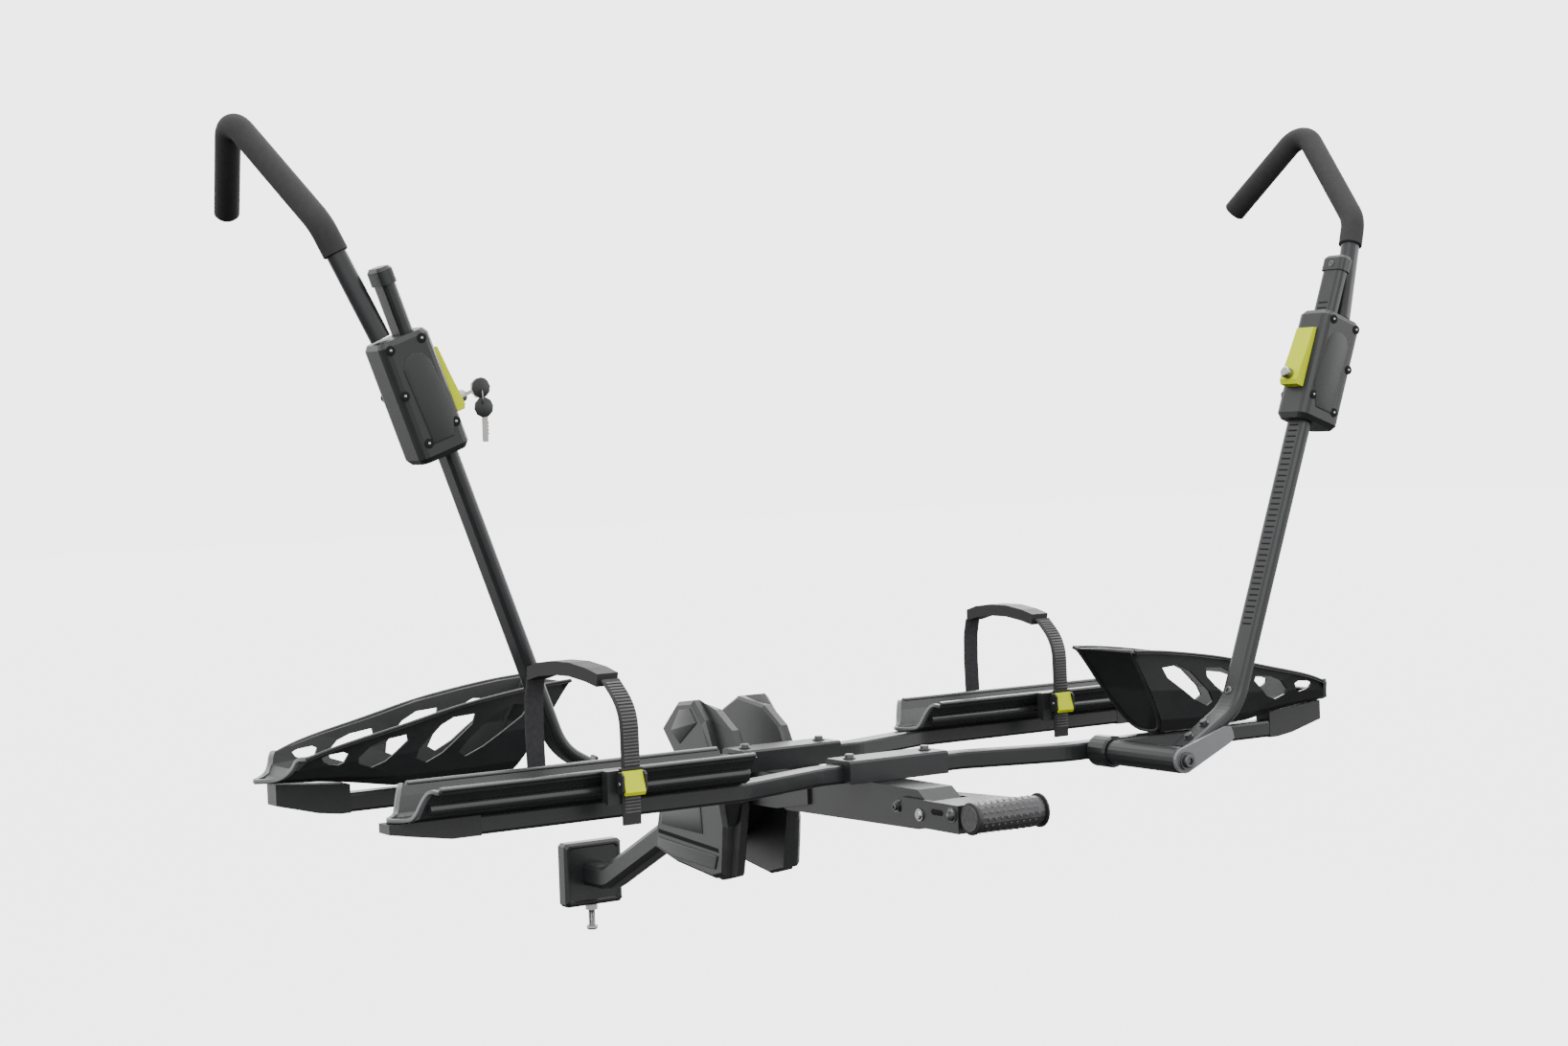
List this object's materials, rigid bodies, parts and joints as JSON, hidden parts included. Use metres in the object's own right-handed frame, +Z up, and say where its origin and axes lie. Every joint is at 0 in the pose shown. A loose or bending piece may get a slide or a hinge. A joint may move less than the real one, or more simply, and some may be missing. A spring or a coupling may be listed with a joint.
{
  "type": "hitch mounted bike rack",
  "caption": "Platform bike rack on a hitch gooseneck, with folding carrier, wheel trays and baskets, swing arms with sliding padded hooks, wheel straps and a tilt handle.",
  "frame": {"origin": "centre of the hitch plate's vehicle-side face", "axes": "+X along the two wheel beams, +Y towards the vehicle, +Z up"},
  "size_m": [1.5958, 1.0974, 1.222],
  "materials": {
    "steel": "satin black powder coat",
    "plastic": "fine grain moulding",
    "zinc": "zinc plated",
    "rubber": "matte",
    "tray": "satin dark grey",
    "foam": "matte foam sleeve",
    "yellow": "satin yellow green",
    "link": "pale grey coat",
    "key": "nickel"
  },
  "bodies": {
    "hitch": {"hitch_plate": "steel", "hitch_bolt": "zinc", "gooseneck": "steel", "pivot_block": "steel", "pivot_pin": "zinc"},
    "carrier": {"spine": "steel", "pivot_cheek_left": "steel", "pivot_cheek_right": "steel", "shroud_left": "plastic", "shroud_right": "plastic", "beam_front": "steel", "clamp_front": "steel", "wheel_tray_front": "tray", "wheel_basket_front": "plastic", "arm_boss_front": "steel", "clamp_bolt_front_left": "zinc", "clamp_bolt_front_right": "zinc", "end_cap_front_left": "plastic", "end_cap_front_right": "plastic", "beam_rear": "steel", "clamp_rear": "steel", "wheel_tray_rear": "tray", "wheel_basket_rear": "plastic", "arm_boss_rear": "steel", "clamp_bolt_rear_left": "zinc", "clamp_bolt_rear_right": "zinc", "end_cap_rear_left": "plastic", "end_cap_rear_right": "plastic"},
    "handle": {"handle_frame": "steel", "handle_grip": "rubber", "handle_bolt": "zinc"},
    "arm_front": {"arm_tube_front": "steel", "arm_barrel_front": "steel", "arm_link_front": "link", "tube_cap_front": "plastic"},
    "slider_front": {"slider_housing_front": "plastic", "hook_rod_front": "steel", "hook_foam_front": "foam"},
    "lever_front": {"release_lever_front": "yellow", "lock_front": "zinc"},
    "strap_front": {"strap_block_front": "plastic", "strap_ladder_front": "rubber", "strap_webbing_front": "rubber", "strap_pad_front": "rubber"},
    "buckle_front": {"buckle_lever_front": "yellow"},
    "arm_rear": {"arm_tube_rear": "steel", "arm_barrel_rear": "steel", "arm_link_rear": "link", "tube_cap_rear": "plastic"},
    "slider_rear": {"slider_housing_rear": "plastic", "hook_rod_rear": "steel", "hook_foam_rear": "foam"},
    "lever_rear": {"release_lever_rear": "yellow", "lock_rear": "zinc"},
    "strap_rear": {"strap_block_rear": "plastic", "strap_ladder_rear": "rubber", "strap_webbing_rear": "rubber", "strap_pad_rear": "rubber"},
    "buckle_rear": {"buckle_lever_rear": "yellow"},
    "key": {"lock_key": "key"}
  },
  "joints": [
    {"name": "fold", "type": "hinge", "parent": "hitch", "child": "carrier", "pos_m": [0, -0.49, 0.192], "axis": [-1, 0, 0], "range_deg": [-20, 90]},
    {"name": "handle_pull", "type": "hinge", "parent": "carrier", "child": "handle", "pos_m": [0, -0.971, 0.195], "axis": [-1, 0, 0], "range_deg": [0, 16], "stiffness_Nm_per_rad": 12, "springref_deg": -8.59},
    {"name": "arm_swing_front", "type": "hinge", "parent": "carrier", "child": "arm_front", "pos_m": [0.336, -1.052, 0.2395], "axis": [0, 1, 0], "range_deg": [-78, 62]},
    {"name": "hook_slide_front", "type": "slide", "parent": "arm_front", "child": "slider_front", "axis": [0.3433, 0, 0.9392], "range_m": [-0.24, 0.035]},
    {"name": "lever_squeeze_front", "type": "hinge", "parent": "slider_front", "child": "lever_front", "pos_m": [0.61072, -1.052, 0.82428], "axis": [0, 1, 0], "range_deg": [0, 16], "stiffness_Nm_per_rad": 1.5, "springref_deg": -5.73},
    {"name": "strap_shift_front", "type": "slide", "parent": "carrier", "child": "strap_front", "axis": [1, 0, 0], "range_m": [-0.08, 0.08]},
    {"name": "buckle_lift_front", "type": "hinge", "parent": "strap_front", "child": "buckle_front", "pos_m": [-0.465, -0.9512, 0.268], "axis": [1, 0, 0], "range_deg": [0, 60]},
    {"name": "arm_swing_rear", "type": "hinge", "parent": "carrier", "child": "arm_rear", "pos_m": [-0.336, -0.746, 0.2395], "axis": [0, -1, 0], "range_deg": [-78, 62]},
    {"name": "hook_slide_rear", "type": "slide", "parent": "arm_rear", "child": "slider_rear", "axis": [-0.3433, 0, 0.9392], "range_m": [-0.24, 0.035]},
    {"name": "lever_squeeze_rear", "type": "hinge", "parent": "slider_rear", "child": "lever_rear", "pos_m": [-0.61072, -0.746, 0.82428], "axis": [0, -1, 0], "range_deg": [0, 16], "stiffness_Nm_per_rad": 1.5, "springref_deg": -5.73},
    {"name": "strap_shift_rear", "type": "slide", "parent": "carrier", "child": "strap_rear", "axis": [1, 0, 0], "range_m": [-0.08, 0.08]},
    {"name": "buckle_lift_rear", "type": "hinge", "parent": "strap_rear", "child": "buckle_rear", "pos_m": [0.465, -0.6452, 0.268], "axis": [1, 0, 0], "range_deg": [0, 60]},
    {"name": "key_turn", "type": "hinge", "parent": "lever_rear", "child": "key", "pos_m": [-0.56024, -0.746, 0.76395], "axis": [-0.9392, 0, -0.3433], "range_deg": [0, 90]}
  ]
}
